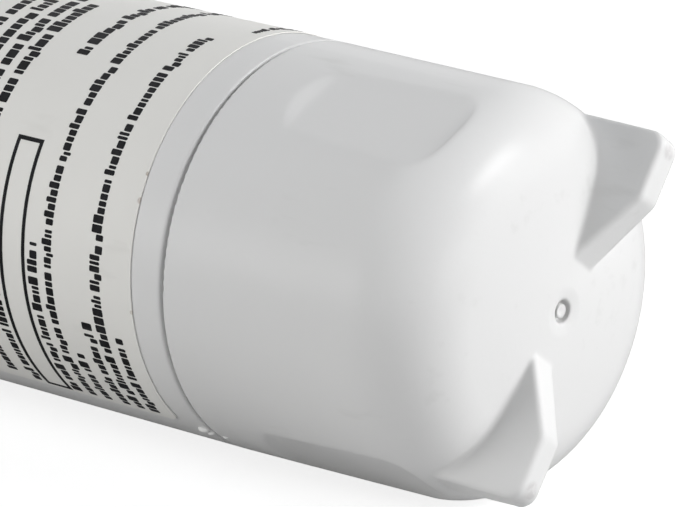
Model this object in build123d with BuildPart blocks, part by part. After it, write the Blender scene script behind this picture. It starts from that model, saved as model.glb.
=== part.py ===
from build123d import *
import os
from math import cos, radians, sin, tan

os.makedirs("parts", exist_ok=True)

# Tube
body_radius = 32.0
body_wall = 2.6
straight_length = 112.2

# Neck: a collar with two bayonet lugs, a spigot and a nozzle
collar_radius = 19.5
collar_length = 14.0
shoulder_ledge = 1.0
spigot_radius = 16.0
spigot_length = 12.0
spigot_wall = 2.0
nozzle_radius = 7.5
nozzle_length = 11.0
neck_chamfer = 0.8
lug_count = 2
lug_height = 4.2
lug_width = 19.0
lug_thickness = 4.2
lug_ramp = 4.0
lug_setback = 2.4
lug_round = 0.6

# Water ways
outlet_bore_radius = 3.5
hub_wall = 2.2
hub_reach = 4.4
port_count = 8
port_land = 0.25

# Seals on the neck
inlet_ring_section = 3.53
inlet_groove_depth = 2.9
inlet_groove_width = 4.6
inlet_groove_setback = 4.6
outlet_ring_section = 2.62
outlet_groove_depth = 2.1
outlet_groove_width = 3.5
outlet_groove_setback = 3.4
seal_clearance = 0.03

# Weld between the tube and the cap
weld_lap = 5.0
weld_rim = 1.3
weld_groove = 0.6
weld_edge_round = 0.3

# Cap
cap_length = 51.0
cap_wall = 3.0
cap_draft = 0.72
cap_corner = 14.2
crown_height = 5.0

# Fins on the cap, in one plane through the axis
fin_azimuth = 144.0
fin_rise = 6.7
fin_top_thickness = 4.6
fin_draft = 4.4
fin_inner = 8.1
fin_top_length = 10.4
fin_inset = 2.4
fin_kink_round = 2.5
fin_corner_round = 2.6
fin_edge_round = 0.8
fin_fillet = 0.6

# Finger flats round the cap, the first in line with a fin
flat_count = 3
flat_start = 10.5
flat_length = 31.7
flat_depth = 0.9
flat_draft = 1.6
flat_ramp = 2.75
flat_blend = 4.0

# Mark where the mould was fed: a dish with a torn-off nub in a ring
gate_dish_radius = 5.1
gate_dish_depth = 1.0
gate_pit_radius = 1.8
gate_pit_depth = 0.8
gate_nub_radius = 1.1

# Ribs inside the cap that hold the filter element
rib_count = 6
rib_thickness = 1.8
rib_inner = 5.0
rib_setback = 14.0

# Filter element
flow_gap = 3.0
wrap_thickness = 1.0
block_bore = 7.0
end_cap_wall = 1.4
end_cap_plate = 2.2
end_cap_skirt = 5.0
plug_length = 4.0
plug_clearance = 0.1
stem_radius = 6.4
stem_length = 10.0
stem_clearance = 0.1
socket_gap = 2.0
element_groove_depth = 1.2
element_groove_width = 1.9
element_groove_setback = 3.0

# Label, wrapped most of the way round and a little crooked
label_thickness = 0.15
label_glue = 0.05
label_setback = 6.2
label_margin = 6.3
label_arc = 290.0
label_edge_azimuth = 137.5
label_corner = 1.8
label_lean = 1.1
label_lean_azimuth = -22.0

# Stations along the axis, from the nozzle's tip to the top of the fins
shoulder_radius = body_radius - collar_radius - shoulder_ledge
overall_length = (
    nozzle_length + spigot_length + collar_length + shoulder_radius
    + straight_length + cap_length + fin_rise
)
tip_x = -overall_length / 2
nozzle_end = tip_x + nozzle_length
spigot_end = nozzle_end + spigot_length
collar_end = spigot_end + collar_length
shoulder_end = collar_end + shoulder_radius
seam_x = shoulder_end + straight_length
rim_x = seam_x + weld_groove / 2
lap_end = seam_x + weld_lap
pole_x = seam_x + cap_length
crown_x = pole_x - crown_height
fin_top_x = pole_x + fin_rise
hub_end = collar_end + body_wall + hub_reach
socket_start = hub_end - stem_length - socket_gap
element_end = pole_x - rib_setback
block_start = hub_end + end_cap_plate
block_end = element_end - end_cap_plate
label_start = shoulder_end + label_margin
label_end = seam_x - label_setback
inlet_groove_x = nozzle_end + inlet_groove_setback
outlet_groove_x = tip_x + outlet_groove_setback
element_groove_x = hub_end - stem_length + element_groove_setback

# Radii that several pieces share
shoulder_start = body_radius - shoulder_radius
tube_bore = body_radius - body_wall
tongue_radius = body_radius - weld_rim
bore_wall_radius = outlet_bore_radius + hub_wall
socket_radius = stem_radius + stem_clearance
hub_radius = socket_radius + hub_wall
inlet_groove_floor = spigot_radius - inlet_groove_depth
outlet_groove_floor = nozzle_radius - outlet_groove_depth
element_groove_floor = stem_radius - element_groove_depth
chamber_radius = inlet_groove_floor - spigot_wall
port_circle = (nozzle_radius + chamber_radius) / 2
port_radius = (chamber_radius - nozzle_radius) / 2 - port_land
end_cap_radius = tube_bore - flow_gap
wrap_radius = end_cap_radius - end_cap_wall
block_radius = wrap_radius - wrap_thickness
label_seat = body_radius + label_glue
label_radius = label_seat + label_thickness
fin_outer = body_radius - fin_inset
fin_kink = fin_outer - fin_top_length

# Slopes of the cap's side, of the fins' inner edge and of the finger flats
side_slope = tan(radians(cap_draft))
fin_slope = (fin_kink - fin_inner) / fin_rise
flat_slope = tan(radians(flat_draft))

# The filter lies on its side on the bare strip of the tube, with its axis along X
axis_height = body_radius
axis_point = (0, 0, axis_height)
filter_axis = Axis(axis_point, (1, 0, 0))


def outward(azimuth):
    """Direction away from the axis: 0 is straight up and 90 is -Y."""
    return (0, -sin(radians(azimuth)), cos(radians(azimuth)))


def section_plane(azimuth):
    """Plane through the axis, with local x along the filter and local y outwards."""
    return Plane(origin=axis_point, x_dir=(1, 0, 0), z_dir=outward(azimuth + 90))


def cross_plane(x):
    """Plane across the axis, with local x along +Y, local y up and the normal along +X."""
    return Plane(origin=(x, 0, axis_height), x_dir=(0, 1, 0), z_dir=(1, 0, 0))


def turned_ring(start, end, inner, outer):
    """Sketch one rectangle of a turned profile, between two stations and two radii."""
    with Locations(((start + end) / 2, (inner + outer) / 2)):
        Rectangle(end - start, outer - inner)


def seal_groove(start, width, floor, land):
    """Sketch the profile of a groove cut into a land for an O-ring."""
    turned_ring(start, start + width, floor, land)


def cap_form(inset):
    """Solid inside the cap's outer surface, moved inwards by inset."""
    with BuildPart() as form:
        with BuildSketch(profile) as outline:
            end_radius = cap_end_radius - inset
            crown_radius = (end_radius ** 2 + crown_height ** 2) / (2 * crown_height)
            corner = (crown_x - inset, end_radius)
            rim = (rim_x, body_radius - inset)
            with BuildLine():
                Polyline(corner, rim, (rim_x, 0), (pole_x - inset, 0))
                RadiusArc((pole_x - inset, 0), corner, -crown_radius)
            make_face()
            fillet(outline.vertices().sort_by_distance(corner)[0], cap_corner - inset)
            fillet(outline.vertices().sort_by_distance(rim)[0], weld_edge_round)
        revolve(axis=filter_axis)
    return form.part


profile = section_plane(0)
cap_end_radius = body_radius - (crown_x - rim_x) * side_slope
gate_curve = (gate_dish_radius ** 2 + gate_dish_depth ** 2) / (2 * gate_dish_depth)
fin_normal = Vector(*outward(fin_azimuth + 90))

# Main shell: the outside first, turned from one profile
with BuildPart() as main_shell:
    with BuildSketch(profile) as shell_side:
        seam_edge = (seam_x - weld_groove / 2, body_radius)
        with BuildLine():
            Polyline(
                (collar_end, shoulder_start),
                (collar_end, collar_radius),
                (spigot_end + neck_chamfer, collar_radius),
                (spigot_end, collar_radius - neck_chamfer),
                (spigot_end, spigot_radius),
                (nozzle_end + neck_chamfer, spigot_radius),
                (nozzle_end, spigot_radius - neck_chamfer),
                (nozzle_end, nozzle_radius),
                (tip_x + neck_chamfer, nozzle_radius),
                (tip_x, nozzle_radius - neck_chamfer),
                (tip_x, 0),
                (lap_end, 0),
                (lap_end, tongue_radius),
                (seam_x - weld_groove / 2, tongue_radius),
                seam_edge,
                (shoulder_end, body_radius),
            )
            CenterArc((shoulder_end, shoulder_start), shoulder_radius, 90, 90)
        make_face()
        fillet(shell_side.vertices().sort_by_distance(seam_edge)[0], weld_edge_round)
    revolve(axis=filter_axis)
    # The bayonet lugs climb round the collar like a short coarse thread
    with BuildPart(mode=Mode.PRIVATE) as lugs:
        lug_x = spigot_end + lug_setback
        for lug in range(lug_count):
            lug_out = outward(fin_azimuth + lug * 360 / lug_count)
            with BuildSketch(Plane(origin=axis_point, x_dir=(1, 0, 0), z_dir=lug_out)):
                with BuildLine():
                    Polyline(
                        (lug_x, -lug_width / 2),
                        (lug_x + lug_thickness, -lug_width / 2),
                        (lug_x + lug_thickness + lug_ramp, lug_width / 2),
                        (lug_x + lug_ramp, lug_width / 2),
                        close=True,
                    )
                make_face()
            extrude(amount=body_radius)
        with BuildSketch(cross_plane(spigot_end)):
            Circle(collar_radius + lug_height)
        extrude(amount=collar_length, mode=Mode.INTERSECT)
        with BuildSketch(cross_plane(spigot_end)):
            Circle(collar_radius - body_wall / 2)
        extrude(amount=collar_length, mode=Mode.SUBTRACT)
        lug_tops = lugs.faces().filter_by(
            lambda face: face.geom_type == GeomType.CYLINDER and face.radius > collar_radius
        )
        fillet(lug_tops.edges(), lug_round)
    add(lugs.part)
    # Cavity, which leaves the hub standing in the middle
    with BuildSketch(profile):
        with BuildLine():
            Polyline(
                (collar_end + body_wall, shoulder_start),
                (collar_end + body_wall, collar_radius - body_wall),
                (spigot_end + body_wall, collar_radius - body_wall),
                (spigot_end + body_wall, chamber_radius),
                (nozzle_end + body_wall, chamber_radius),
                (nozzle_end + body_wall, bore_wall_radius),
                (socket_start - hub_wall, bore_wall_radius),
                (socket_start - hub_wall, hub_radius),
                (hub_end, hub_radius),
                (hub_end, 0),
                (lap_end, 0),
                (lap_end, tube_bore),
                (shoulder_end, tube_bore),
            )
            CenterArc((shoulder_end, shoulder_start), shoulder_radius - body_wall, 90, 90)
        make_face()
    revolve(axis=filter_axis, mode=Mode.SUBTRACT)
    # Outlet bore, socket for the element's stem and the two seal grooves
    with BuildSketch(profile):
        turned_ring(tip_x, socket_start, 0, outlet_bore_radius)
        turned_ring(socket_start, hub_end, 0, socket_radius)
        seal_groove(inlet_groove_x, inlet_groove_width, inlet_groove_floor, spigot_radius)
        seal_groove(outlet_groove_x, outlet_groove_width, outlet_groove_floor, nozzle_radius)
    revolve(axis=filter_axis, mode=Mode.SUBTRACT)
    # Inlet ports, between the two seals
    with BuildSketch(cross_plane(nozzle_end)):
        with PolarLocations(port_circle, port_count):
            Circle(port_radius)
    extrude(amount=body_wall, mode=Mode.SUBTRACT)

# Grip cap
with BuildPart() as grip_cap:
    add(cap_form(0))
    # Each fin is a slab drafted from its top, trimmed to the fin's side view
    with BuildPart(mode=Mode.PRIVATE) as fins:
        fin_base_x = crown_x - cap_corner
        fin_top = Plane(origin=(fin_top_x, 0, axis_height), x_dir=outward(fin_azimuth), z_dir=(-1, 0, 0))
        with BuildSketch(fin_top):
            Rectangle(2 * body_radius, fin_top_thickness)
        extrude(amount=fin_top_x - fin_base_x, taper=-fin_draft)
        with BuildSketch(section_plane(fin_azimuth)) as fin_sides:
            fin_foot = fin_inner - cap_wall / 2 * fin_slope
            fin_kink_point = (fin_top_x, fin_kink)
            fin_corner_point = (fin_top_x, fin_outer)
            with BuildLine():
                Polyline(
                    (fin_base_x, fin_foot),
                    (pole_x - cap_wall / 2, fin_foot),
                    fin_kink_point,
                    fin_corner_point,
                    (fin_base_x, fin_outer),
                    close=True,
                )
            make_face()
            fillet(fin_sides.vertices().sort_by_distance(fin_kink_point)[0], fin_kink_round)
            fillet(fin_sides.vertices().sort_by_distance(fin_corner_point)[0], fin_corner_round)
            mirror(about=Plane.XZ)
        extrude(amount=body_radius, both=True, mode=Mode.INTERSECT)
        # The four largest faces are the sides of the two fins: round their edges above the base
        fin_edges = fins.faces().sort_by(SortBy.AREA)[-4:].edges()
        fillet(fin_edges.filter_by(lambda edge: edge.center().X > fin_base_x), fin_edge_round)
    add(fins.part)
    fin_roots = grip_cap.edges(Select.LAST).filter_by(
        lambda edge: edge.bounding_box().max.X < pole_x
        and abs((edge.center() - Vector(*axis_point)).dot(fin_normal)) < fin_top_thickness
    )
    fillet(fin_roots, fin_fillet)
    # Finger flats: a ramp down, a floor that falls towards the fins, and a ramp up
    flat_start_x = seam_x + flat_start
    flat_end_x = flat_start_x + flat_length
    flat_start_radius = body_radius - flat_start * side_slope
    flat_end_radius = flat_start_radius - flat_length * side_slope
    floor_start = (flat_start_x + flat_ramp, flat_start_radius - flat_depth)
    floor_end = (flat_end_x - flat_ramp, floor_start[1] - (flat_length - 2 * flat_ramp) * flat_slope)
    for flat in range(flat_count):
        with BuildSketch(section_plane(fin_azimuth + flat * 360 / flat_count)) as flat_side:
            with BuildLine():
                Polyline(
                    (flat_start_x, body_radius),
                    (flat_start_x, flat_start_radius),
                    floor_start,
                    floor_end,
                    (flat_end_x, flat_end_radius),
                    (flat_end_x, body_radius),
                    close=True,
                )
            make_face()
            fillet(flat_side.vertices().sort_by_distance(floor_start)[0], flat_blend)
            fillet(flat_side.vertices().sort_by_distance(floor_end)[0], flat_blend)
        extrude(amount=body_radius, both=True, mode=Mode.SUBTRACT)
    # Mark where the mould was fed
    with BuildSketch(profile):
        with BuildLine():
            Polyline(
                (pole_x, gate_dish_radius),
                (pole_x, 0),
                (pole_x - gate_dish_depth, 0),
            )
            RadiusArc((pole_x - gate_dish_depth, 0), (pole_x, gate_dish_radius), -gate_curve)
        make_face()
        turned_ring(pole_x - gate_dish_depth - gate_pit_depth, pole_x, gate_nub_radius, gate_pit_radius)
    revolve(axis=filter_axis, mode=Mode.SUBTRACT)
    # Hollow it, then open the lap that the tube's tongue is welded into
    add(cap_form(cap_wall), mode=Mode.SUBTRACT)
    with BuildSketch(profile):
        turned_ring(rim_x, lap_end, 0, tongue_radius)
    revolve(axis=filter_axis, mode=Mode.SUBTRACT)
    # Ribs run from the filter element into the end wall
    with BuildPart(mode=Mode.PRIVATE) as ribs:
        with BuildSketch(cross_plane(element_end)):
            with PolarLocations((rib_inner + wrap_radius) / 2, rib_count):
                Rectangle(wrap_radius - rib_inner, rib_thickness)
        extrude(amount=rib_setback)
        add(cap_form(cap_wall / 2), mode=Mode.INTERSECT)
    add(ribs.part)

# Label: a film round the tube, cut along two leaning planes
with BuildPart() as label:
    with BuildSketch(section_plane(label_edge_azimuth - label_arc)):
        turned_ring(shoulder_end, seam_x, label_seat, label_radius)
    revolve(axis=filter_axis, revolution_arc=label_arc)
    label_normal = Vector(1, 0, 0) + Vector(*outward(label_lean_azimuth)) * tan(radians(label_lean))
    split(bisect_by=Plane(origin=(label_start, 0, axis_height), z_dir=label_normal), keep=Keep.TOP)
    split(bisect_by=Plane(origin=(label_end, 0, axis_height), z_dir=label_normal), keep=Keep.BOTTOM)
    label_corners = label.edges().sort_by(SortBy.LENGTH)[:4]
    fillet(label_corners, label_corner)

# Seals on the neck
with BuildPart() as inlet_o_ring:
    with BuildSketch(profile):
        with Locations((
            inlet_groove_x + inlet_groove_width / 2,
            inlet_groove_floor + seal_clearance + inlet_ring_section / 2,
        )):
            Circle(inlet_ring_section / 2)
    revolve(axis=filter_axis)

with BuildPart() as outlet_o_ring:
    with BuildSketch(profile):
        with Locations((
            outlet_groove_x + outlet_groove_width / 2,
            outlet_groove_floor + seal_clearance + outlet_ring_section / 2,
        )):
            Circle(outlet_ring_section / 2)
    revolve(axis=filter_axis)

# Filter element
with BuildPart() as carbon_block:
    with BuildSketch(profile):
        turned_ring(block_start, block_end, block_bore, block_radius)
    revolve(axis=filter_axis)

with BuildPart() as prefilter_wrap:
    with BuildSketch(profile):
        turned_ring(block_start, block_end, block_radius, wrap_radius)
    revolve(axis=filter_axis)

with BuildPart() as outlet_end_cap:
    with BuildSketch(profile):
        turned_ring(hub_end, block_start, outlet_bore_radius, end_cap_radius)
        turned_ring(block_start, block_start + end_cap_skirt, wrap_radius, end_cap_radius)
        turned_ring(hub_end - stem_length, hub_end, outlet_bore_radius, stem_radius)
    revolve(axis=filter_axis)
    with BuildSketch(profile):
        seal_groove(element_groove_x, element_groove_width, element_groove_floor, stem_radius)
    revolve(axis=filter_axis, mode=Mode.SUBTRACT)

# The stem's seal is modelled squeezed between its groove and the socket
with BuildPart() as element_o_ring:
    squeezed_section = element_groove_depth + stem_clearance - 2 * seal_clearance
    with BuildSketch(profile):
        with Locations((
            element_groove_x + element_groove_width / 2,
            socket_radius - seal_clearance - squeezed_section / 2,
        )):
            Circle(squeezed_section / 2)
    revolve(axis=filter_axis)

with BuildPart() as blind_end_cap:
    with BuildSketch(profile):
        turned_ring(block_end, element_end, 0, end_cap_radius)
        turned_ring(block_end - end_cap_skirt, block_end, wrap_radius, end_cap_radius)
        turned_ring(block_end - plug_length, block_end, 0, block_bore - plug_clearance)
    revolve(axis=filter_axis)

main_shell.part.label = "main_shell"
grip_cap.part.label = "grip_cap"
label.part.label = "label"
inlet_o_ring.part.label = "inlet_o_ring"
outlet_o_ring.part.label = "outlet_o_ring"
carbon_block.part.label = "carbon_block"
prefilter_wrap.part.label = "prefilter_wrap"
outlet_end_cap.part.label = "outlet_end_cap"
element_o_ring.part.label = "element_o_ring"
blind_end_cap.part.label = "blind_end_cap"

export_step(main_shell.part, "parts/main_shell.step")
export_step(grip_cap.part, "parts/grip_cap.step")
export_step(label.part, "parts/label.step")
export_step(inlet_o_ring.part, "parts/inlet_o_ring.step")
export_step(outlet_o_ring.part, "parts/outlet_o_ring.step")
export_step(carbon_block.part, "parts/carbon_block.step")
export_step(prefilter_wrap.part, "parts/prefilter_wrap.step")
export_step(outlet_end_cap.part, "parts/outlet_end_cap.step")
export_step(element_o_ring.part, "parts/element_o_ring.step")
export_step(blind_end_cap.part, "parts/blind_end_cap.step")
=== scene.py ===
"""Water filter cartridge: finishes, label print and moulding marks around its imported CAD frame."""

import logging
import math
import random
from dataclasses import dataclass, replace
from enum import Enum

import bmesh
import bpy
from mathutils import Matrix, Vector


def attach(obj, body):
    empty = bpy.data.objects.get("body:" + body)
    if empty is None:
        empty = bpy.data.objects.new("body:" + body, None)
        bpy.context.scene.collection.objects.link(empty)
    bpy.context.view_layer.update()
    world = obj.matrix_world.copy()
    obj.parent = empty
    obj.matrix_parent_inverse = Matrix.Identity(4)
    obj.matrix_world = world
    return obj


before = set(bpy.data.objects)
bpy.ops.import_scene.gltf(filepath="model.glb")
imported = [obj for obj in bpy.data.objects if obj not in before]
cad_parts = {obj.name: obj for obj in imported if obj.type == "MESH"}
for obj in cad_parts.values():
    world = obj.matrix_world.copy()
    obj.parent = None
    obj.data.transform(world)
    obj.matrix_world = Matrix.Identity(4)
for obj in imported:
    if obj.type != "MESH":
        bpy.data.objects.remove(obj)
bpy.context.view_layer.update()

LOG = logging.getLogger("water_filter")
BODY = "root"
MM = 0.001
PRINT_HEIGHT = 1.45


class Slot(str, Enum):
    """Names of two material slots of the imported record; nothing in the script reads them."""

    HOUSING = "housing_plastic"
    LABEL = "label_film"


class Weight(Enum):
    """How heavily a row of the label is printed, as the gap between its blocks in millimetres."""

    REGULAR = 0.20
    BOLD = 0.15


# ---------------------------------------------------------------- shared measures


@dataclass(frozen=True)
class TubeLine:
    """The filter's axis and seam, from which azimuths and stations are counted.

    Azimuth 0 points up and 90 towards -Y. Stations run along +X from the seam, in millimetres.
    """

    radius: float = 32.0
    axis_height: float = 32.0
    seam_x: float = 51.5

    def point(self, station: float, azimuth: float, radius: float) -> Vector:
        """Place a point on the tube.

        Args:
            station: Millimetres along the axis from the seam.
            azimuth: Degrees from straight up towards -Y.
            radius: Millimetres from the axis.

        Returns:
            The point in the row frame, in metres.
        """
        turn = math.radians(azimuth)
        height = self.axis_height + radius * math.cos(turn)
        return Vector((self.seam_x + station, -radius * math.sin(turn), height)) * MM


TUBE = TubeLine()


def new_piece(name: str, shape: bmesh.types.BMesh, finish: bpy.types.Material,
              crease: float = 35.0) -> None:
    """Turn a shape into a piece of the object that rides on the frame.

    Args:
        name: Name of the piece.
        shape: Closed shape in the row frame, in metres. It is freed.
        finish: Material of the piece.
        crease: Edges sharper than this many degrees stay sharp.
    """
    bmesh.ops.recalc_face_normals(shape, faces=shape.faces)
    mesh = bpy.data.meshes.new(name)
    shape.to_mesh(mesh)
    shape.free()
    mesh.shade_smooth()
    mesh.set_sharp_from_angle(angle=math.radians(crease))
    piece = bpy.data.objects.new(name, mesh)
    bpy.context.scene.collection.objects.link(piece)
    mesh.materials.append(finish)
    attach(piece, BODY)
    LOG.info("%s: %d faces", name, len(mesh.polygons))


def dress_node(node: str, finish: bpy.types.Material) -> None:
    """Give a CAD node its finish.

    Args:
        node: Name of the node.
        finish: Its material.
    """
    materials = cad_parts[node].data.materials
    materials.clear()
    materials.append(finish)
    LOG.info("%s: dressed with %s", node, finish.name)


# ---------------------------------------------------------------- shader groups and finishes


def grey(tone: float) -> tuple[float, float, float, float]:
    """Give the grey of a tone from 0, black, to 1, white."""
    return (tone, tone, tone, 1.0)


class Nodes:
    """A node tree that is filled by short calls."""

    def __init__(self, tree: bpy.types.NodeTree) -> None:
        """Keep the tree that is to be filled."""
        self.tree = tree

    def add(self, kind: str, **settings: object) -> bpy.types.Node:
        """Add a node.

        Args:
            kind: Blender's name of the node type, without its ShaderNode prefix.
            **settings: Properties to set on the node.

        Returns:
            The new node.
        """
        node = self.tree.nodes.new("ShaderNode" + kind)
        for name, value in settings.items():
            setattr(node, name, value)
        return node

    def link(self, out: bpy.types.NodeSocket, into: bpy.types.NodeSocket) -> None:
        """Join two sockets."""
        self.tree.links.new(out, into)

    def feed(self, value: bpy.types.NodeSocket | float | tuple[float, ...],
             into: bpy.types.NodeSocket) -> None:
        """Give a socket its value.

        Args:
            value: A plain value, or the socket that it comes from.
            into: The socket that takes it.
        """
        if isinstance(value, bpy.types.NodeSocket):
            self.link(value, into)
        else:
            into.default_value = value

    def noise(self, place: bpy.types.NodeSocket, scale: bpy.types.NodeSocket | float, detail: float,
              roughness: float = 0.5) -> bpy.types.NodeSocket:
        """Add a noise.

        Args:
            place: Its coordinates.
            scale: Its scale.
            detail: How many finer layers it has.
            roughness: How strong the finer layers are.

        Returns:
            The noise, which varies about 0.5.
        """
        node = self.add("TexNoise")
        node.inputs["Detail"].default_value = detail
        node.inputs["Roughness"].default_value = roughness
        self.link(place, node.inputs["Vector"])
        self.feed(scale, node.inputs["Scale"])
        return node.outputs["Fac"]

    def ramp(self, value: bpy.types.NodeSocket, band: tuple[float, float],
             low: bpy.types.NodeSocket | float = 0.0, high: bpy.types.NodeSocket | float = 1.0,
             smooth: bool = True) -> bpy.types.NodeSocket:
        """Stretch a band of values.

        Args:
            value: What is stretched.
            band: The values that become low and high.
            low: Result at the band's start.
            high: Result at the band's end.
            smooth: Whether the result eases in and out.

        Returns:
            The result, held between low and high.
        """
        node = self.add("MapRange", interpolation_type="SMOOTHSTEP" if smooth else "LINEAR")
        self.link(value, node.inputs["Value"])
        self.feed(band[0], node.inputs["From Min"])
        self.feed(band[1], node.inputs["From Max"])
        self.feed(low, node.inputs["To Min"])
        self.feed(high, node.inputs["To Max"])
        return node.outputs["Result"]

    def math(self, operation: str, first: bpy.types.NodeSocket,
             second: bpy.types.NodeSocket | float | None = None,
             clamp: bool = False) -> bpy.types.NodeSocket:
        """Reckon with one or two values.

        Args:
            operation: Blender's name of the operation.
            first: First value.
            second: Second value, where the operation takes one.
            clamp: Whether the result is held between 0 and 1.

        Returns:
            The result.
        """
        node = self.add("Math", operation=operation, use_clamp=clamp)
        self.link(first, node.inputs[0])
        if second is not None:
            self.feed(second, node.inputs[1])
        return node.outputs["Value"]

    def mix(self, share: bpy.types.NodeSocket, under: bpy.types.NodeSocket,
            over: bpy.types.NodeSocket | tuple[float, ...]) -> bpy.types.NodeSocket:
        """Lay a colour over another.

        Args:
            share: How much of the upper colour shows.
            under: The lower colour.
            over: The upper colour.

        Returns:
            The mixed colour.
        """
        node = self.add("Mix", data_type="RGBA")
        self.link(share, node.inputs["Factor"])
        self.link(under, node.inputs["A"])
        self.feed(over, node.inputs["B"])
        return node.outputs["Result"]

    def place(self, group: bpy.types.NodeTree, coordinates: bpy.types.NodeSocket,
              **values: object) -> bpy.types.Node:
        """Place a shader group.

        Args:
            group: The group's tree.
            coordinates: What its Coordinates input reads.
            **values: Values of its other inputs, with underscores for spaces.

        Returns:
            The group node.
        """
        node = self.add("Group", node_tree=group)
        self.link(coordinates, node.inputs["Coordinates"])
        for name, value in values.items():
            node.inputs[name.replace("_", " ")].default_value = value
        return node


@dataclass
class Effects:
    """Shader groups that several finishes share, each built once."""

    mottle_detail: float = 5.0
    mottle_roughness: float = 0.55
    mottle_band: tuple[float, float] = (0.35, 0.65)
    grain_detail: float = 3.0
    sheen_scale: float = 60.0
    sheen_detail: float = 4.0
    sheen_band: tuple[float, float] = (0.3, 0.7)
    patch_detail: float = 2.0
    streak_scale: float = 420.0
    streak_detail: float = 6.0
    streak_stretch: tuple[float, float, float] = (0.25, 1.0, 1.0)
    rubbed_gain: float = 6.0
    spot_band: tuple[float, float] = (1.0, 0.45)
    rag_scale: float = 800.0
    rag_detail: float = 3.0
    rag_band: tuple[float, float] = (0.38, 0.62)
    rag_least: float = 0.35

    def __post_init__(self) -> None:
        """Build the groups."""
        self.mottle = self.build_mottle()
        self.grain = self.build_grain()
        self.scuffs = self.build_scuffs()
        self.spot = self.build_spot()

    @staticmethod
    def new_group(name: str, inputs: dict[str, str], outputs: dict[str, str]) -> Nodes:
        """Start a group.

        Args:
            name: Name of the group.
            inputs: Socket type by input name.
            outputs: Socket type by output name.

        Returns:
            The group's nodes, with a group input and output in place.
        """
        tree = bpy.data.node_groups.new(name, "ShaderNodeTree")
        for label, kind in inputs.items():
            tree.interface.new_socket(label, in_out="INPUT", socket_type="NodeSocket" + kind)
        for label, kind in outputs.items():
            tree.interface.new_socket(label, in_out="OUTPUT", socket_type="NodeSocket" + kind)
        nodes = Nodes(tree)
        tree.nodes.new("NodeGroupInput")
        tree.nodes.new("NodeGroupOutput")
        return nodes

    @staticmethod
    def ends(nodes: Nodes) -> tuple[bpy.types.bpy_prop_collection, bpy.types.bpy_prop_collection]:
        """Find a group's own sockets.

        Args:
            nodes: The group's nodes.

        Returns:
            The sockets that bring its inputs, and those that take its outputs.
        """
        given = next(n for n in nodes.tree.nodes if n.bl_idname == "NodeGroupInput")
        taken = next(n for n in nodes.tree.nodes if n.bl_idname == "NodeGroupOutput")
        return given.outputs, taken.inputs

    def build_mottle(self) -> bpy.types.NodeTree:
        """Build the slow drift between two tints, as in moulded or coated stock.

        Returns:
            The group's tree.
        """
        nodes = self.new_group(
            "mottle",
            {"Coordinates": "Vector", "Scale": "Float", "Tint": "Color", "Second Tint": "Color"},
            {"Color": "Color"},
        )
        given, taken = self.ends(nodes)
        drift = nodes.noise(given["Coordinates"], given["Scale"], self.mottle_detail, self.mottle_roughness)
        share = nodes.ramp(drift, self.mottle_band)
        nodes.link(nodes.mix(share, given["Tint"], given["Second Tint"]), taken["Color"])
        return nodes.tree

    def build_grain(self) -> bpy.types.NodeTree:
        """Build the fine unevenness of a surface: a height and a varying roughness.

        Returns:
            The group's tree.
        """
        nodes = self.new_group(
            "grain",
            {"Coordinates": "Vector", "Scale": "Float", "Low": "Float", "High": "Float"},
            {"Height": "Float", "Roughness": "Float"},
        )
        given, taken = self.ends(nodes)
        fine = nodes.noise(given["Coordinates"], given["Scale"], self.grain_detail)
        slow = nodes.noise(given["Coordinates"], self.sheen_scale, self.sheen_detail)
        sheen = nodes.ramp(slow, self.sheen_band, given["Low"], given["High"], smooth=False)
        nodes.link(fine, taken["Height"])
        nodes.link(sheen, taken["Roughness"])
        return nodes.tree

    def build_scuffs(self) -> bpy.types.NodeTree:
        """Build faint rubbed patches: where two drifting noises are both high.

        Returns:
            The group's tree.
        """
        nodes = self.new_group(
            "scuffs",
            {"Coordinates": "Vector", "Scale": "Float", "Onset": "Float"},
            {"Mask": "Float"},
        )
        given, taken = self.ends(nodes)
        stretch = nodes.add("Mapping")
        stretch.inputs["Scale"].default_value = self.streak_stretch
        nodes.link(given["Coordinates"], stretch.inputs["Vector"])
        patches = nodes.noise(given["Coordinates"], given["Scale"], self.patch_detail)
        streaks = nodes.noise(stretch.outputs["Vector"], self.streak_scale, self.streak_detail)
        both = nodes.math("MULTIPLY", patches, streaks)
        over = nodes.math("SUBTRACT", both, given["Onset"], clamp=True)
        nodes.link(nodes.math("MULTIPLY", over, self.rubbed_gain, clamp=True), taken["Mask"])
        return nodes.tree

    def build_spot(self) -> bpy.types.NodeTree:
        """Build one ragged spot, such as a nick or a stain, round a point.

        Returns:
            The group's tree.
        """
        nodes = self.new_group(
            "spot",
            {"Coordinates": "Vector", "Centre": "Vector", "Spread": "Float"},
            {"Mask": "Float"},
        )
        given, taken = self.ends(nodes)
        away = nodes.add("VectorMath", operation="DISTANCE")
        nodes.link(given["Coordinates"], away.inputs[0])
        nodes.link(given["Centre"], away.inputs[1])
        near = nodes.ramp(nodes.math("DIVIDE", away.outputs["Value"], given["Spread"]), self.spot_band)
        rags = nodes.noise(given["Coordinates"], self.rag_scale, self.rag_detail)
        torn = nodes.ramp(rags, self.rag_band, self.rag_least)
        nodes.link(nodes.math("MULTIPLY", near, torn), taken["Mask"])
        return nodes.tree


@dataclass(frozen=True)
class Spot:
    """One nick or stain: its place on the tube, its spread in millimetres and its tint."""

    station: float
    azimuth: float
    radius: float
    spread: float
    tint: tuple[float, float, float]


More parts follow.
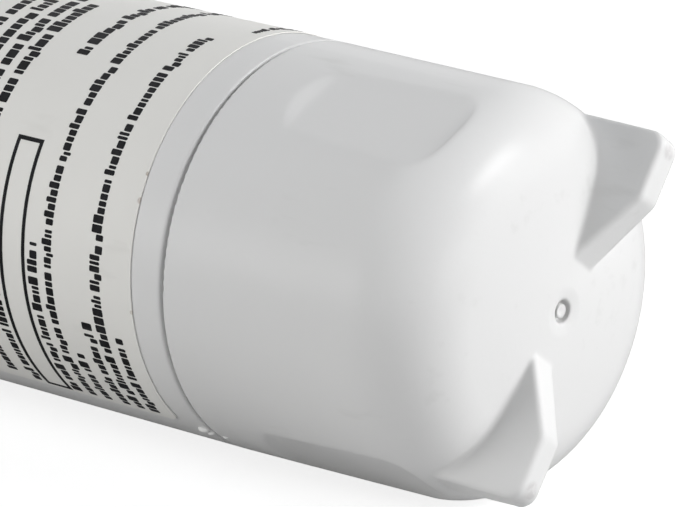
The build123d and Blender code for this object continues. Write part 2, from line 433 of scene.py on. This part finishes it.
@dataclass(frozen=True)
class SoftEdges:
    """Edges that light takes as rounded, most of all at the finger flats, in millimetres."""

    flats_radius: float = 2.2
    other_radius: float = 0.9
    flats_middle: float = 24.0
    flats_reach: float = 15.0
    fade: float = 7.0
    samples: int = 8

    def normal(self, nodes: Nodes, place: bpy.types.NodeSocket) -> bpy.types.NodeSocket:
        """Soften the edges.

        Args:
            nodes: The material's nodes.
            place: The material's coordinates.

        Returns:
            The softened normal.
        """
        axes = nodes.add("SeparateXYZ")
        nodes.link(place, axes.inputs["Vector"])
        along = nodes.math("SUBTRACT", axes.outputs["X"], (TUBE.seam_x + self.flats_middle) * MM)
        away = nodes.math("ABSOLUTE", along)
        band = (self.flats_reach * MM, (self.flats_reach + self.fade) * MM)
        radius = nodes.ramp(away, band, self.flats_radius * MM, self.other_radius * MM)
        edge = nodes.add("Bevel", samples=self.samples)
        nodes.link(radius, edge.inputs["Radius"])
        return edge.outputs["Normal"]


@dataclass(frozen=True)
class Finish:
    """One finish: two tints that drift, a range of roughness, a fine grain, rubbed patches and spots."""

    name: str
    tint: tuple[float, float, float]
    second_tint: tuple[float, float, float]
    rubbed_tint: tuple[float, float, float]
    mottle_scale: float
    roughness: tuple[float, float]
    grain_scale: float
    grain_height: float
    grain_strength: float
    rubbed_onset: float = 0.30
    rubbed_scale: float = 45.0
    specular: float = 0.5
    edges: SoftEdges | None = None
    spots: tuple[Spot, ...] = ()

    def material(self, effects: Effects) -> bpy.types.Material:
        """Build the finish.

        Args:
            effects: The shared shader groups.

        Returns:
            The material, which reads Object coordinates.
        """
        material = bpy.data.materials.new(self.name)
        material.use_nodes = True
        nodes = Nodes(material.node_tree)
        shader = material.node_tree.nodes["Principled BSDF"]
        place = nodes.add("TexCoord").outputs["Object"]
        mottle = nodes.place(effects.mottle, place, Scale=self.mottle_scale,
                             Tint=(*self.tint, 1.0), Second_Tint=(*self.second_tint, 1.0))
        scuffs = nodes.place(effects.scuffs, place, Scale=self.rubbed_scale, Onset=self.rubbed_onset)
        grain = nodes.place(effects.grain, place, Scale=self.grain_scale,
                            Low=self.roughness[0], High=self.roughness[1])
        color = nodes.mix(scuffs.outputs["Mask"], mottle.outputs["Color"], (*self.rubbed_tint, 1.0))
        for spot in self.spots:
            color = self.lay_spot(nodes, effects, spot, place, color)
        nodes.link(color, shader.inputs["Base Color"])
        nodes.link(grain.outputs["Roughness"], shader.inputs["Roughness"])
        bump = nodes.add("Bump")
        bump.inputs["Strength"].default_value = self.grain_strength
        bump.inputs["Distance"].default_value = self.grain_height
        nodes.link(grain.outputs["Height"], bump.inputs["Height"])
        if self.edges is not None:
            nodes.link(self.edges.normal(nodes, place), bump.inputs["Normal"])
        nodes.link(bump.outputs["Normal"], shader.inputs["Normal"])
        shader.inputs["Specular IOR Level"].default_value = self.specular
        return material

    @staticmethod
    def lay_spot(nodes: Nodes, effects: Effects, spot: Spot, place: bpy.types.NodeSocket,
                 color: bpy.types.NodeSocket) -> bpy.types.NodeSocket:
        """Lay a spot over a colour.

        Args:
            nodes: The material's nodes.
            effects: The shared shader groups.
            spot: The spot.
            place: The material's coordinates.
            color: The colour under the spot.

        Returns:
            The colour with the spot on it.
        """
        mask = nodes.place(effects.spot, place, Spread=spot.spread * MM,
                           Centre=TUBE.point(spot.station, spot.azimuth, spot.radius))
        return nodes.mix(mask.outputs["Mask"], color, (*spot.tint, 1.0))


MOULDED_WHITE = Finish(
    name="moulded_white", tint=(0.80, 0.80, 0.80), second_tint=(0.792, 0.792, 0.79),
    rubbed_tint=(0.74, 0.74, 0.735), mottle_scale=22.0, roughness=(0.285, 0.31),
    grain_scale=900.0, grain_height=0.04 * MM, grain_strength=0.35, rubbed_onset=0.36,
    edges=SoftEdges(),
    spots=(
        Spot(57.6, -36.0, 27.4, 1.7, (0.68, 0.67, 0.67)),
        Spot(57.6, 144.0, 27.4, 2.0, (0.64, 0.63, 0.63)),
    ),
)
# Weld flash: the housing's white plastic with a lighter tint. The extra lightness is painted glow that
# stands in for light shining through the thin flash.
FLASH_WHITE_PAINTED_GLOW = replace(MOULDED_WHITE, name="flash_white_painted_glow", tint=(0.90, 0.90, 0.895),
                      second_tint=(0.87, 0.87, 0.865), edges=None, spots=())
LABEL_FILM = Finish(
    name="label_film", tint=(0.89, 0.882, 0.853), second_tint=(0.875, 0.867, 0.838),
    rubbed_tint=(0.83, 0.82, 0.79), mottle_scale=35.0, roughness=(0.38, 0.5),
    grain_scale=1800.0, grain_height=0.02 * MM, grain_strength=0.3, rubbed_onset=0.36,
    spots=(
        Spot(-6.25, 66.5, 32.2, 0.65, (0.24, 0.13, 0.07)),
        Spot(-6.4, 59.0, 32.2, 0.45, (0.44, 0.38, 0.32)),
        Spot(-6.0, 97.2, 32.2, 0.45, (0.42, 0.34, 0.27)),
    ),
)
PRINT_INK = Finish(
    name="print_ink", tint=(0.010, 0.010, 0.011), second_tint=(0.018, 0.018, 0.020),
    rubbed_tint=(0.05, 0.05, 0.05), mottle_scale=300.0, roughness=(0.45, 0.6),
    grain_scale=2500.0, grain_height=0.01 * MM, grain_strength=0.3, rubbed_onset=0.36, specular=0.1,
)
SEAL_RUBBER = Finish(
    name="seal_rubber", tint=(0.018, 0.018, 0.018), second_tint=(0.03, 0.03, 0.031),
    rubbed_tint=(0.09, 0.09, 0.088), mottle_scale=120.0, roughness=(0.42, 0.6),
    grain_scale=1600.0, grain_height=0.03 * MM, grain_strength=0.5, rubbed_onset=0.31,
)
PRESSED_CARBON = Finish(
    name="pressed_carbon", tint=(0.012, 0.012, 0.012), second_tint=(0.035, 0.034, 0.033),
    rubbed_tint=(0.08, 0.08, 0.08), mottle_scale=900.0, roughness=(0.75, 0.95),
    grain_scale=1200.0, grain_height=0.25 * MM, grain_strength=0.9,
)
SPUN_FELT = Finish(
    name="spun_felt", tint=(0.80, 0.80, 0.78), second_tint=(0.68, 0.68, 0.66),
    rubbed_tint=(0.6, 0.6, 0.57), mottle_scale=420.0, roughness=(0.85, 1.0),
    grain_scale=1500.0, grain_height=0.3 * MM, grain_strength=0.9,
)
END_CAP_WHITE = Finish(
    name="end_cap_white", tint=(0.74, 0.74, 0.72), second_tint=(0.70, 0.70, 0.68),
    rubbed_tint=(0.6, 0.6, 0.58), mottle_scale=40.0, roughness=(0.45, 0.6),
    grain_scale=900.0, grain_height=0.04 * MM, grain_strength=0.4,
)


# ---------------------------------------------------------------- sub-assemblies


@dataclass(frozen=True)
class Row:
    """One printed row: the station of its middle, its azimuths and how it is set."""

    station: float
    start: float
    end: float
    weight: Weight = Weight.REGULAR
    height: float = PRINT_HEIGHT


@dataclass(frozen=True)
class Paragraph:
    """Rows that stand under each other and start at one azimuth, with their length in degrees."""

    first: float
    start: float
    length: float
    count: int
    pitch: float = 3.7
    weight: Weight = Weight.REGULAR
    height: float = PRINT_HEIGHT
    shortest: float = 0.8

    def rows(self, dice: random.Random) -> list[Row]:
        """List the rows, which end unevenly.

        Args:
            dice: Where the rows' lengths come from.

        Returns:
            The rows.
        """
        ends = [self.start - self.length * dice.uniform(self.shortest, 1.0) for _ in range(self.count)]
        return [Row(self.first - self.pitch * index, self.start, end, self.weight, self.height)
                for index, end in enumerate(ends)]


@dataclass
class LabelPrint:
    """The print on the label: rows of plain rounded blocks and one empty box, bent round the film."""

    film_radius: float = 32.2
    proud: float = 0.03
    sunk: float = 0.05
    lean: float = 0.63
    lean_azimuth: float = 68.0
    block_widths: tuple[float, ...] = (0.5, 0.8, 0.95, 1.25)
    block_round: float = 0.2
    block_round_steps: int = 2
    word_blocks: tuple[int, int] = (2, 9)
    word_gap: float = 0.55
    tall_share: float = 0.28
    tall_height: float = 1.38
    low_share: float = 0.1
    low_drop: float = 0.45
    box_stations: tuple[float, float] = (-33.2, -27.9)
    box_azimuths: tuple[float, float] = (136.5, 56.7)
    box_line: float = 0.68
    box_steps: int = 48
    seed: int = 7
    rows: tuple[Row, ...] = (
        Row(-50.3, 66.0, -8.0, Weight.REGULAR, 1.9),
        Row(-46.5, 66.0, -8.0, Weight.REGULAR, 1.9),
        Row(-42.8, 66.0, -8.0, Weight.BOLD, 1.9),
        Row(-39.2, 66.0, 4.6, Weight.BOLD, 1.9),
        Row(-39.0, 133.0, 78.0),
        Row(-34.75, 135.5, 82.0),
        Row(-30.2, 28.5, -28.0, Weight.BOLD, 1.65),
        Row(-26.1, 135.5, 84.5),
        Row(-23.1, 135.5, -20.0),
        Row(-19.9, 135.5, 116.0),
        Row(-16.15, 135.5, 104.2),
        Row(-13.2, 135.5, 9.5),
        Row(-10.1, 135.5, 106.6),
        Row(-8.75, 0.0, -22.0, Weight.REGULAR, 1.1),
    )
    paragraphs: tuple[Paragraph, ...] = (
        Paragraph(-44.0, 135.5, 58.0, 7),
        Paragraph(-57.5, 66.0, 60.0, 4),
        Paragraph(-77.0, 135.5, 96.0, 1, weight=Weight.BOLD, height=3.6, shortest=1.0),
        Paragraph(-83.5, 135.5, 120.0, 5),
        Paragraph(-14.0, -48.0, 86.0, 9),
    )

    def wrap(self, flat: bmesh.types.BMesh, station: float, azimuth: float) -> None:
        """Bend a flat shape round the film.

        Args:
            flat: Shape with x along the row, y towards the row's top and z outwards, in millimetres.
            station: Station of the row's foot.
            azimuth: Azimuth where the row's x is 0.
        """
        for vert in flat.verts:
            turn = azimuth - math.degrees(vert.co.x / self.film_radius)
            drift = self.lean * math.sin(math.radians(turn - self.lean_azimuth))
            vert.co = TUBE.point(station + drift - vert.co.y, turn, self.film_radius + vert.co.z)

    def set_block(self, flat: bmesh.types.BMesh, left: float, foot: float, width: float,
                  height: float) -> None:
        """Stand one block in a flat row.

        Args:
            flat: Shape that takes the block.
            left: Where the block starts along the row.
            foot: How far it stands above the row's foot.
            width: Its width.
            height: Its height.
        """
        size = Vector((width, height, self.proud + self.sunk, 1.0))
        middle = Vector((left + width / 2, foot + height / 2, (self.proud - self.sunk) / 2))
        bmesh.ops.create_cube(flat, size=1.0, matrix=Matrix.Translation(middle) @ Matrix.Diagonal(size))

    def set_row(self, shape: bmesh.types.BMesh, row: Row, dice: random.Random) -> None:
        """Set one row of blocks, with gaps between its words.

        Args:
            shape: Shape that takes the row.
            row: The row.
            dice: Where the words' lengths and the blocks' sizes come from.
        """
        flat = bmesh.new()
        length = math.radians(row.start - row.end) * self.film_radius
        scale = row.height / PRINT_HEIGHT
        along = 0.0
        while along < length:
            for _ in range(dice.randint(*self.word_blocks)):
                width = dice.choice(self.block_widths) * scale
                fate = dice.random()
                height = row.height * (self.tall_height if fate < self.tall_share else 1.0)
                foot = -self.low_drop if fate > 1.0 - self.low_share else 0.0
                if along + width <= length:
                    self.set_block(flat, along, foot, width, height)
                along += width + row.weight.value * scale
            along += self.word_gap * scale
        span = max(vert.co.x for vert in flat.verts)
        bmesh.ops.scale(flat, vec=(length / span, 1.0, 1.0), verts=flat.verts)
        upright = [edge for edge in flat.edges
                   if abs(edge.verts[0].co.z - edge.verts[1].co.z) > self.proud]
        bmesh.ops.bevel(flat, geom=upright, offset=self.block_round, offset_type="OFFSET",
                        segments=self.block_round_steps, profile=0.5, affect="EDGES", material=-1)
        self.wrap(flat, row.station + row.height / 2, row.start)
        self.merge(flat, shape)

    @staticmethod
    def merge(part: bmesh.types.BMesh, whole: bmesh.types.BMesh) -> None:
        """Move a shape into another one.

        Args:
            part: The shape that is moved. It is freed.
            whole: The shape that takes it.
        """
        mesh = bpy.data.meshes.new("part")
        part.to_mesh(mesh)
        part.free()
        whole.from_mesh(mesh)
        bpy.data.meshes.remove(mesh)

    def set_box(self, shape: bmesh.types.BMesh) -> None:
        """Set the outline of the empty box.

        Args:
            shape: Shape that takes the box.
        """
        flat = bmesh.new()
        length = math.radians(self.box_azimuths[0] - self.box_azimuths[1]) * self.film_radius
        height = self.box_stations[1] - self.box_stations[0]
        bmesh.ops.create_grid(flat, x_segments=self.box_steps, y_segments=1, size=0.5)
        bmesh.ops.scale(flat, vec=(length, height, 1.0), verts=flat.verts)
        flat.normal_update()
        bmesh.ops.inset_region(flat, faces=flat.faces, thickness=self.box_line, use_boundary=True,
                               use_even_offset=True)
        inner = [f for f in flat.faces if all(abs(v.co.y) < height / 2 - self.box_line / 2
                                              and abs(v.co.x) < length / 2 - self.box_line / 2
                                              for v in f.verts)]
        bmesh.ops.delete(flat, geom=inner, context="FACES")
        raised = bmesh.ops.extrude_face_region(flat, geom=flat.faces[:])
        tops = [v for v in raised["geom"] if isinstance(v, bmesh.types.BMVert)]
        bmesh.ops.translate(flat, vec=(0.0, 0.0, self.proud + self.sunk), verts=tops)
        bmesh.ops.translate(flat, vec=(length / 2, height / 2, -self.sunk), verts=flat.verts)
        self.wrap(flat, self.box_stations[1], self.box_azimuths[0])
        self.merge(flat, shape)

    def build(self, ink: bpy.types.Material) -> None:
        """Print the label.

        Args:
            ink: Finish of the print.
        """
        dice = random.Random(self.seed)
        rows = bmesh.new()
        for row in self.rows:
            self.set_row(rows, row, dice)
        for paragraph in self.paragraphs:
            for row in paragraph.rows(dice):
                self.set_row(rows, row, dice)
        new_piece("label_rows", rows, ink)
        box = bmesh.new()
        self.set_box(box)
        new_piece("label_box", box, ink)


@dataclass
class Housing:
    """The white moulded housing: tube with neck, and welded grip cap."""

    nodes: tuple[str, ...] = ("main_shell", "grip_cap")
    flash_places: tuple[tuple[float, float], ...] = ((-1.8, 139.9), (-0.8, 141.1), (1.6, 142.5))
    flash_sizes: tuple[tuple[float, float, float], ...] = ((1.1, 0.42, 0.65), (0.8, 0.36, 0.55),
                                                           (0.6, 0.4, 0.3))
    flash_sink: float = 0.1
    flash_steps: int = 3

    def dress(self, plastic: bpy.types.Material) -> None:
        """Give the mouldings their finish.

        Args:
            plastic: Finish of the mouldings.
        """
        for node in self.nodes:
            dress_node(node, plastic)

    def build_flash(self, plastic: bpy.types.Material) -> None:
        """Lay the crumbs of weld flash that stick out beside the seam.

        Args:
            plastic: Finish of the crumbs: the white plastic with its tint painted lighter, as painted glow
                for light that shines through the thin flash.
        """
        shape = bmesh.new()
        for (station, azimuth), (along, across, out) in zip(self.flash_places, self.flash_sizes):
            place = Matrix.Translation(TUBE.point(station, azimuth, TUBE.radius - self.flash_sink))
            turn = Matrix.Rotation(math.radians(azimuth), 4, "X")
            size = Matrix.Diagonal((along * MM, across * MM, out * MM, 1.0))
            bmesh.ops.create_icosphere(shape, subdivisions=self.flash_steps, radius=1.0,
                                       matrix=place @ turn @ size)
        new_piece("weld_flash", shape, plastic)


@dataclass
class Inside:
    """The sealed filter element and the seals."""

    seals: tuple[str, ...] = ("inlet_o_ring", "outlet_o_ring", "element_o_ring")
    end_caps: tuple[str, ...] = ("outlet_end_cap", "blind_end_cap")
    block: str = "carbon_block"
    wrap: str = "prefilter_wrap"

    def dress(self, effects: Effects) -> None:
        """Give the seals and the filter element their finishes.

        Args:
            effects: The shared shader groups.
        """
        rubber = SEAL_RUBBER.material(effects)
        for node in self.seals:
            dress_node(node, rubber)
        end_cap = END_CAP_WHITE.material(effects)
        for node in self.end_caps:
            dress_node(node, end_cap)
        dress_node(self.block, PRESSED_CARBON.material(effects))
        dress_node(self.wrap, SPUN_FELT.material(effects))


# ---------------------------------------------------------------- studio


@dataclass(frozen=True)
class Softbox:
    """One rectangular lamp, aimed at the filter, with its width and height in metres.

    Only a glossy lamp shows as a highlight.
    """

    name: str
    direction: tuple[float, float, float]
    size: tuple[float, float]
    power: float
    tint: tuple[float, float, float] = (1.0, 1.0, 1.0)
    glossy: bool = False
    distance: float = 1.3

    def build(self, target: Vector) -> None:
        """Hang the lamp.

        Args:
            target: Point that it is aimed at, in metres.
        """
        lamp = bpy.data.lights.new(self.name, "AREA")
        lamp.shape = "RECTANGLE"
        lamp.size, lamp.size_y = self.size
        lamp.energy = self.power
        lamp.color = self.tint
        holder = bpy.data.objects.new(self.name, lamp)
        holder.visible_glossy = self.glossy
        away = Vector(self.direction).normalized()
        holder.location = target + away * self.distance
        holder.rotation_euler = away.to_track_quat("Z", "Y").to_euler()
        bpy.context.scene.collection.objects.link(holder)


@dataclass
class Studio:
    """Camera, lamps, pale floor and white surroundings, with the camera's lengths in millimetres."""

    azimuth: float = 40.136
    elevation: float = 17.066
    distance: float = 788.698
    aim_right: float = 6.0
    aim_down: float = 1.04
    lens: float = 272.8
    sensor: float = 36.0
    surround: float = 0.01
    floor_size: float = 6.0
    floor_tone: float = 0.63
    floor_paint: float = 0.45
    floor_glow: float = 0.79
    floor_roughness: float = 0.9
    lamps: tuple[Softbox, ...] = (
        Softbox("highlight_softbox", (0.704, 0.309, 0.639), (0.6, 0.2), 4.0, glossy=True),
        Softbox("key_softbox", (0.8, 0.45, 0.4), (0.5, 0.5), 7.5),
        Softbox("fill_strip", (-0.6, -0.8, 0.15), (0.9, 0.36), 7.2, (1.0, 0.99, 0.97)),
        Softbox("end_strip", (1.0, -0.05, 0.15), (0.9, 0.36), 5.5),
        Softbox("top_softbox", (-0.3, -0.5, 0.8), (0.9, 0.9), 4.6, (0.95, 0.975, 1.0)),
        Softbox("back_softbox", (-0.7, 0.3, 0.65), (0.9, 0.9), 0.8, (0.95, 0.975, 1.0)),
        Softbox("rear_strip", (0.1, 1.0, 0.15), (0.9, 0.36), 4.0),
        Softbox("neck_strip", (-1.0, 0.35, 0.15), (0.9, 0.36), 3.5),
    )

    def build_camera(self) -> None:
        """Set the camera up at the photograph's viewing angle."""
        turn, rise = math.radians(self.azimuth), math.radians(self.elevation)
        back = Vector((math.sin(turn) * math.cos(rise), -math.cos(turn) * math.cos(rise), math.sin(rise)))
        right = Vector((math.cos(turn), math.sin(turn), 0.0))
        up = back.cross(right)
        seam = TUBE.point(0.0, 0.0, 0.0)
        data = bpy.data.cameras.new("photo_camera")
        data.lens = self.lens
        data.sensor_width = self.sensor
        camera = bpy.data.objects.new("photo_camera", data)
        spot = seam + (back * self.distance + right * self.aim_right - up * self.aim_down) * MM
        camera.matrix_world = Matrix.Translation(spot) @ Matrix((right, up, back)).transposed().to_4x4()
        bpy.context.scene.collection.objects.link(camera)
        bpy.context.scene.camera = camera

    @staticmethod
    def seen_rays(nodes: Nodes, path: bpy.types.Node) -> bpy.types.NodeSocket:
        """Tell the rays that show the surroundings from those that carry light.

        Args:
            nodes: Nodes of the material or world.
            path: Its Light Path node.

        Returns:
            A socket that is 1 for camera, glossy and transmission rays.
        """
        either = nodes.math("MAXIMUM", path.outputs["Is Camera Ray"], path.outputs["Is Glossy Ray"])
        return nodes.math("MAXIMUM", either, path.outputs["Is Transmission Ray"])

    def build_world(self) -> None:
        """Make the surroundings white to look at and soft grey as light."""
        world = bpy.data.worlds.new("studio")
        world.use_nodes = True
        bpy.context.scene.world = world
        nodes = Nodes(world.node_tree)
        light = world.node_tree.nodes["Background"]
        light.inputs["Color"].default_value = grey(1.0)
        light.inputs["Strength"].default_value = self.surround
        white = nodes.add("Background")
        white.inputs["Color"].default_value = grey(1.0)
        pick = nodes.add("MixShader")
        nodes.link(self.seen_rays(nodes, nodes.add("LightPath")), pick.inputs["Fac"])
        nodes.link(light.outputs["Background"], pick.inputs[1])
        nodes.link(white.outputs["Background"], pick.inputs[2])
        nodes.link(pick.outputs["Shader"], world.node_tree.nodes["World Output"].inputs["Surface"])

    def build_floor(self) -> None:
        """Lay the pale floor, which keeps the filter's shadow."""
        shape = bmesh.new()
        bmesh.ops.create_grid(shape, x_segments=1, y_segments=1, size=self.floor_size / 2)
        mesh = bpy.data.meshes.new("floor")
        shape.to_mesh(mesh)
        shape.free()
        floor = bpy.data.objects.new("floor", mesh)
        bpy.context.scene.collection.objects.link(floor)
        material = bpy.data.materials.new("pale_floor")
        material.use_nodes = True
        nodes = Nodes(material.node_tree)
        path = nodes.add("LightPath")
        matt = material.node_tree.nodes["Principled BSDF"]
        matt.inputs["Base Color"].default_value = grey(self.floor_tone)
        matt.inputs["Roughness"].default_value = self.floor_roughness
        matt.inputs["Specular IOR Level"].default_value = 0.0
        paint = nodes.add("BsdfDiffuse")
        paint.inputs["Color"].default_value = grey(self.floor_paint)
        white = nodes.add("Emission")
        glow = nodes.math("MULTIPLY", path.outputs["Is Camera Ray"], self.floor_glow)
        nodes.link(glow, white.inputs["Strength"])
        shown = nodes.add("AddShader")
        nodes.link(paint.outputs["BSDF"], shown.inputs[0])
        nodes.link(white.outputs["Emission"], shown.inputs[1])
        pick = nodes.add("MixShader")
        nodes.link(self.seen_rays(nodes, path), pick.inputs["Fac"])
        nodes.link(matt.outputs["BSDF"], pick.inputs[1])
        nodes.link(shown.outputs["Shader"], pick.inputs[2])
        nodes.link(pick.outputs["Shader"], material.node_tree.nodes["Material Output"].inputs["Surface"])
        mesh.materials.append(material)

    def build(self) -> None:
        """Set the whole studio up."""
        bpy.context.scene.view_settings.view_transform = "Standard"
        self.build_camera()
        self.build_world()
        self.build_floor()
        for lamp in self.lamps:
            lamp.build(TUBE.point(0.0, 0.0, 0.0))


def main() -> None:
    """Dress the filter and set the studio up."""
    logging.basicConfig(level=logging.INFO, format="%(name)s: %(message)s")
    effects = Effects()
    housing = Housing()
    housing.dress(MOULDED_WHITE.material(effects))
    housing.build_flash(FLASH_WHITE_PAINTED_GLOW.material(effects))
    dress_node("label", LABEL_FILM.material(effects))
    LabelPrint().build(PRINT_INK.material(effects))
    Inside().dress(effects)
    Studio().build()


if __name__ == "__main__":
    main()
